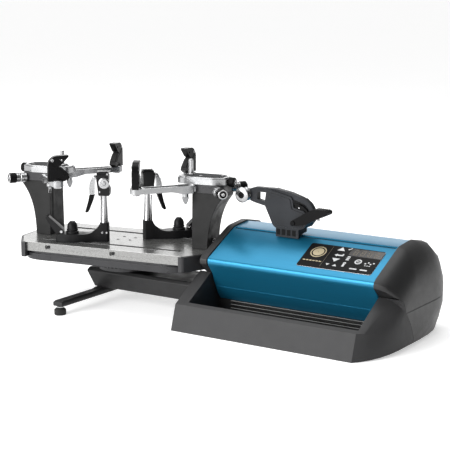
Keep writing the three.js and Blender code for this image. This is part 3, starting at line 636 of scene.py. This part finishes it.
def box_outline(x, s, width, height):
    left, right, bottom, top = x - width / 2, x + width / 2, s - height / 2, s + height / 2
    return [(left, bottom), (right, bottom), (right, top), (left, top)]


def triangle(x, s, size, up=1):
    return [(x - size, s - size * 0.55 * up), (x + size, s - size * 0.55 * up),
            (x, s + size * 0.75 * up)]


def ring(x, s, outer, inner, sides=40):
    """A printed ring: round the outside, then back round the hole."""
    angles = [2 * math.pi * k / sides for k in range(sides + 1)]
    rim = [(x + outer * math.cos(a), s + outer * math.sin(a)) for a in angles]
    hole = [(x + inner * math.cos(a), s + inner * math.sin(a)) for a in reversed(angles)]
    return printed(rim + hole)


def digit(x, s, height, width, weight):
    """The seven bars of an unlit display digit, leaning to the right."""
    half = height / 2
    reach = (width + weight) / 2
    bars = [box_outline(x, s + half * level, width, weight) for level in (1, 0, -1)]
    bars += [box_outline(x + side * reach, s + part * half / 2, weight, half - weight)
             for side in (-1, 1) for part in (-1, 1)]
    lean = 0.12
    return [[(u + (v - s) * lean, v) for u, v in outline] for outline in bars]


def panel_details():
    """The keypad's rim, display, emblem and key symbols, all printed or thin."""
    face = SLOPE @ shift(0, 0, 1.5)
    band = slab(filleted(box_outline(578.75, 52.4, 177.4, 79.6), 6), -1.15, -0.75)
    add("panel_rim", band, "steel", face, "base", 0.2)
    glass = slab(filleted(box_outline(628.5, 77.5, 77, 24), 2.5), 0, 0.12)
    add("panel_display", glass, "display", face, "base", 0)
    bars = [outline for k in range(4) for outline in digit(604 + k * 16.5, 77, 14, 6.4, 1.5)]
    digits = joined(*[printed(outline, 0.12, 0.2) for outline in bars])
    add("panel_digits", digits, "unlit", face, "base", 0)
    divider = printed(box_outline(545, 53, 0.7, 70))
    add("panel_divider", divider, "unlit", face, "base", 0)
    emblem = joined(ring(519.5, 64.4, 18, 15.5), ring(519.5, 64.4, 12.5, 1.0))
    add("panel_emblem", emblem, "gold", face, "base", 0)
    caption = joined(*[printed(box_outline(500 + 7.6 * k, 34, 5.6, 2.6)) for k in range(6)])
    add("panel_caption_bar", caption, "gold", face, "base", 0)
    enter_arrow = [(560, 62), (566, 66.5), (566, 63.8), (577, 63.8), (577, 67.5),
                   (580.5, 67.5), (580.5, 60.2), (566, 60.2), (566, 57.5)]
    tick = [(581.5, 85), (584, 82), (590.5, 89.5), (588.6, 90.6), (584, 85.2), (583, 86.6)]
    arrows = ((567, 82.5, 9, 1), (569, 46, 9, -1), (558.6, 28.5, 4.6, -1), (576, 28, 5, 1))
    marks = [printed(triangle(*arrow)) for arrow in arrows]
    marks += [printed(enter_arrow)]
    marks += [printed(box_outline(594.5, 31.5, 5, 8)), ring(594.5, 39, 3.4, 1.3)]
    marks += [printed(filleted(box_outline(x, 24.6, 17, 3.6), 1.5)) for x in (621, 645.5)]
    marks += [ring(622, 49, 8, 5.2), printed(filleted(box_outline(622, 49, 8, 2.4), 1))]
    marks += [printed(box_outline(595, 56 + 5 * k, 7, 3.2)) for k in (-1, 0, 1)]
    marks += [printed(box_outline(640 + 6 * k, 46 + 4 * (k % 2), 3.6, 3.6)) for k in range(4)]
    marks += [printed(box_outline(642 + 5 * k, 39.5, 3, 2)) for k in range(3)]
    marks += [printed(tick)]
    add("panel_symbols", joined(*marks), "print", face, "base", 0)


def surface_x(y, z):
    """How far the right end reaches on X at y and z, found by two rays from the right."""
    reach = []
    for name in ("tray", "rear_cover", "end_cap_right"):
        node = nodes[name]
        inverse = node.matrix_world.inverted()
        for lean in (-1.2, 1.2):
            start = inverse @ (ROOT @ Vector((RIGHT_END + 62, y + lean, z + lean)))
            hit, place, _, _ = node.ray_cast(start, inverse.to_3x3() @ Vector((-1, 0, 0)))
            if hit:
                reach.append((ROOT.inverted() @ node.matrix_world @ place).x)
    return max(reach, default=None)


def seam_line(name, path, width=1.8):
    """A dark shadow line along a joint of the right end; path is (y, z) points."""
    samples = []
    for start, end in zip(path, path[1:]):
        a, b = Vector(start), Vector(end)
        count = max(1, round((b - a).length / 3))
        samples += [a.lerp(b, k / count) for k in range(count)]
    samples.append(Vector(path[-1]))
    bm = bmesh.new()
    rings = []
    for k, spot in enumerate(samples):
        x = surface_x(*spot)
        if x is None:
            continue
        along = (samples[min(k + 1, len(samples) - 1)] - samples[max(k - 1, 0)]).normalized()
        side = Vector((-along.y, along.x)) * width / 2
        top = min(x + 0.15, RIGHT_END)
        rings.append([bm.verts.new((level, spot.x + side.x * sign, spot.y + side.y * sign))
                      for level, sign in ((top, -1), (top, 1), (top - 1.2, 1), (top - 1.2, -1))])
    for low, high in zip(rings, rings[1:]):
        for k in range(4):
            j = (k + 1) % 4
            bm.faces.new((low[k], low[j], high[j], high[k]))
    bm.faces.new(rings[0][::-1])
    bm.faces.new(rings[-1])
    bmesh.ops.recalc_face_normals(bm, faces=bm.faces)
    add(name, bm, "dark_line", ROOT, "base", 0)


def head_details():
    """Seams and screws of the right end, painted highlights along the grille's slats, and the
    carriage slot.
    """
    base, skin = "base", "housing_plastic"
    seam_line("tray_seam", [(-42, 111), (-30, 104), (-24, 81), (0, 47), (12, 20), (14, 3)])
    seam_line("cover_seam", [(-23, 81), (212, 81)])
    # painted highlight: thin light grey strips along the slats stand in for the light caught by
    # their edges
    edges = [moved(strip(307, 684.5, 0, 0.45, -0.3, 0.5), shift(0, -17.8, 13.6 + 8.2 * k))
             for k in range(5)]
    add("slat_painted_highlights", joined(*edges), "edge", ROOT, base, 0)
    for letter, (y, z) in zip("abc", ((-8.7, 91.9), (0.9, 55.6), (27.7, 33.8))):
        at = ROOT @ shift(RIGHT_END - 0.8, y, z) @ turn(90, "Y")
        add(f"end_screw_{letter}", bolt(5.0, 0.75, 0.55), "inlay", at, base, 0)
        well = lathe([(7.4, 0), (7.4, 0.6), (7.2, 0.75), (5.3, 0.75), (5.2, 0.2)], 32)
        add(f"end_screw_ring_{letter}", well, "dark_line", at, base, 0)
    add("slot_seal", strip(281, 681, 42, 3.2, 192, 193), "rubber", ROOT, base,
        0)
    lips = joined(*[moved(strip(281, 681, 0.35, 0.35, 0, 0.25), shift(0, y, z))
                    for y, z in ((37.4, 197.35), (45.9, 200.0))])
    add("slot_lips", lips, "dark_line", ROOT, base, 0)


def carriage_cover():
    """The raised cover on the front of the carriage, with its shadow gap and screws."""
    body, slot = "carriage", "carriage_metal"
    cover = [(375, 284), (379, 289.5), (429, 280.5), (432.5, 277), (436, 258), (462, 252),
             (467.5, 247), (470, 233), (462, 222), (450, 217.5), (397, 217.5), (390, 222),
             (370, 262)]
    middle = (420, 252)
    rim = [tuple(c + (v - c) * 1.025 for c, v in zip(middle, point)) for point in cover]
    at = ROOT @ shift(0, COVER_FRONT, 0)
    add("carriage_shadow", upright(rim, 4, 0, 0.4), "dark_line", at, body, 0)
    add("carriage_cover", upright(cover, 4, 0, 1.8), "carriage", at, body, 0.8)
    for k, (x, z) in enumerate(((382, 281), (460, 245), (400, 224), (447, 224))):
        at = ROOT @ shift(x, COVER_FRONT - 1.5, z) @ turn(90, "X")
        add(f"carriage_bolt_{k}", bolt(2.6, 0.9), "dark_line", at, body, 0)


def jaw_details():
    """The nose hub and the gripper's jaw pieces."""
    body = "carriage"
    cup = lathe([(7.4, 0), (7.4, 1.2), (6.6, 1.9), (3.4, 1.9), (3.1, 1.2)], 36)
    hub = joined(cup, moved(bolt(3.0, 1.6), shift(0, 0, 1)))
    at = ROOT @ shift(311.5, 16.6, 278.5) @ turn(90, "X")
    add("nose_hub", hub, "grip", at, body, 0)
    teeth = [moved(strip(452 + 4 * k, 454.4 + 4 * k, 264.5, 4.5, -1.4, 1.4), turn(90, "X"))
             for k in range(5)]
    at = ROOT @ shift(0, 34, 0)
    add("jaw_teeth", joined(*teeth), "grip", at, body, 0.3)
    screw = lathe([(1.6, 0), (3.0, 1.0), (3.4, 2.6), (3.0, 4.2), (1.6, 5.2)], 28)
    at = ROOT @ shift(452, 33, 262) @ turn(90, "X")
    add("jaw_screw", screw, "silver", at, body, 0)
    block = [(440, 258), (470, 250), (474, 258), (462, 266), (444, 272), (438, 268)]
    at = ROOT @ shift(0, 33.2, 0)
    add("jaw_block", upright(block, 3, 0, 5), "grip", at, body, 0.6)
    back = [(446, 262), (462, 258), (482, 262), (478, 274), (466, 284), (448, 280)]
    at = ROOT @ shift(0, 41, 0)
    add("jaw_back", upright(back, 3, 0, 2), "dark_line", at, body, 0.3)


def lever_details():
    """The thumb ribs, pivot and stop of the grip lever."""
    lever = "grip_lever"
    ribs = [moved(strip(0, 1.6, -0.4, 1.0, -10.6, 10.6),
                  shift(496 + 5.2 * k, 28.3, 264.8) @ turn(90, "X")) for k in range(6)]
    add("grip_ribs", joined(*ribs), "grip", ROOT, lever, 0.4)
    pivot = lathe([(5.6, 0), (5.6, 1.4), (4.8, 2.0), (2.6, 2.0)], 30)
    at = ROOT @ shift(443, 17.0, 229) @ turn(90, "X")
    add("grip_pivot", pivot, "grip", at, lever, 0)
    ball = lathe([(1.0, 0), (2.6, 0.6), (3.2, 2.4), (2.6, 4.4), (1.0, 5.2)], 24)
    add("grip_stop", ball, "steel", ROOT @ shift(503, 24, 239.5), lever, 0)


def wiper_details():
    """The comb of wipers at the foot of the carriage."""
    wipers = joined(*[strip(398 + 13 * k, 407 + 13 * k, 24.8, 0.4, 199, 212) for k in range(4)])
    add("carriage_wipers", wipers, "grip", ROOT, "carriage", 0.3)


def foot_details():
    for name, y in (("front", -184), ("back", 184)):
        nut = lathe([(7.2, 0), (7.6, 0.4), (7.6, 2.6), (7.2, 3)], 6)
        at = ROOT @ shift(-45, y, 16.4)
        add(f"foot_{name}_nut", nut, "steel", at, "base", 0.3)


for hook in HOOKS:
    arm_details(hook)
    knob_details(hook)
    hook_details(hook)
for end in ENDS:
    yoke_details(end)
    clamp_details(end)
    tower_knob(end)
table_details()
panel_details()
head_details()
carriage_cover()
jaw_details()
lever_details()
wiper_details()
foot_details()


# ---- floor, light and camera, in metres ----
FLOOR_SIZE = 160


def stage_floor():
    made = Shader("pale_floor", 0.7, Specular_IOR_Level=0.2, Emission_Color=(1, 1, 1, 1),
                  Emission_Strength=0.5)
    made.colours(made.noise(3, 3), [(0.3, (0.86, 0.86, 0.86)), (0.7, (0.88, 0.88, 0.88))])
    bpy.ops.mesh.primitive_plane_add(size=FLOOR_SIZE)
    floor = bpy.context.object
    floor.name = "floor"
    floor.data.materials.append(made.material)


def softbox(name, place, target, size, energy):
    light = bpy.data.lights.new(name, "AREA")
    light.shape = "RECTANGLE"
    light.size, light.size_y = size
    light.energy = energy
    thing = bpy.data.objects.new(name, light)
    thing.location = place
    thing.rotation_euler = (Vector(place) - Vector(target)).to_track_quat("Z", "Y").to_euler()
    bpy.context.scene.collection.objects.link(thing)


def studio():
    """A white world that is brighter on one side, and four large soft lights."""
    world = bpy.data.worlds.new("studio")
    bpy.context.scene.world = world
    world.use_nodes = True
    tree = world.node_tree
    background = tree.nodes["Background"]
    background.inputs["Color"].default_value = (1, 1, 1, 1)
    facing = tree.nodes.new("ShaderNodeVectorMath")
    facing.operation = "DOT_PRODUCT"
    facing.inputs[1].default_value = (-0.84, -0.12, 0.1)
    ranged = tree.nodes.new("ShaderNodeMapRange")
    ends = {"From Min": -0.7, "From Max": 0.8, "To Min": 0.16, "To Max": 0.85}
    for key, number in ends.items():
        ranged.inputs[key].default_value = number
    direction = tree.nodes.new("ShaderNodeTexCoord").outputs["Generated"]
    tree.links.new(direction, facing.inputs[0])
    tree.links.new(facing.outputs["Value"], ranged.inputs["Value"])
    tree.links.new(ranged.outputs["Result"], background.inputs["Strength"])
    softbox("top", (-0.3, 0.3, 2.8), (0, 0, 0), (2.8, 2.0), 46)
    softbox("front_left", (-1.3, -3.0, 1.7), (0, 0, 0.1), (2.4, 1.6), 80)
    softbox("front_low", (-0.5, -2.8, 0.45), (0.1, 0, 0.1), (2.4, 0.6), 28)
    softbox("back_left", (-2.6, 3.6, 0.9), (-0.2, 0, 0.15), (3.2, 1.4), 22)


def camera():
    data = bpy.data.cameras.new("camera")
    data.sensor_width = 36
    data.lens = 112
    data.clip_end = 300
    thing = bpy.data.objects.new("camera", data)
    thing.location = (1.7268, -2.5475, 0.810)
    thing.rotation_euler = (math.radians(78.85), 0, math.radians(33.4))
    bpy.context.scene.collection.objects.link(thing)
    bpy.context.scene.camera = thing


stage_floor()
studio()
camera()
bpy.context.scene.view_settings.view_transform = "Standard"
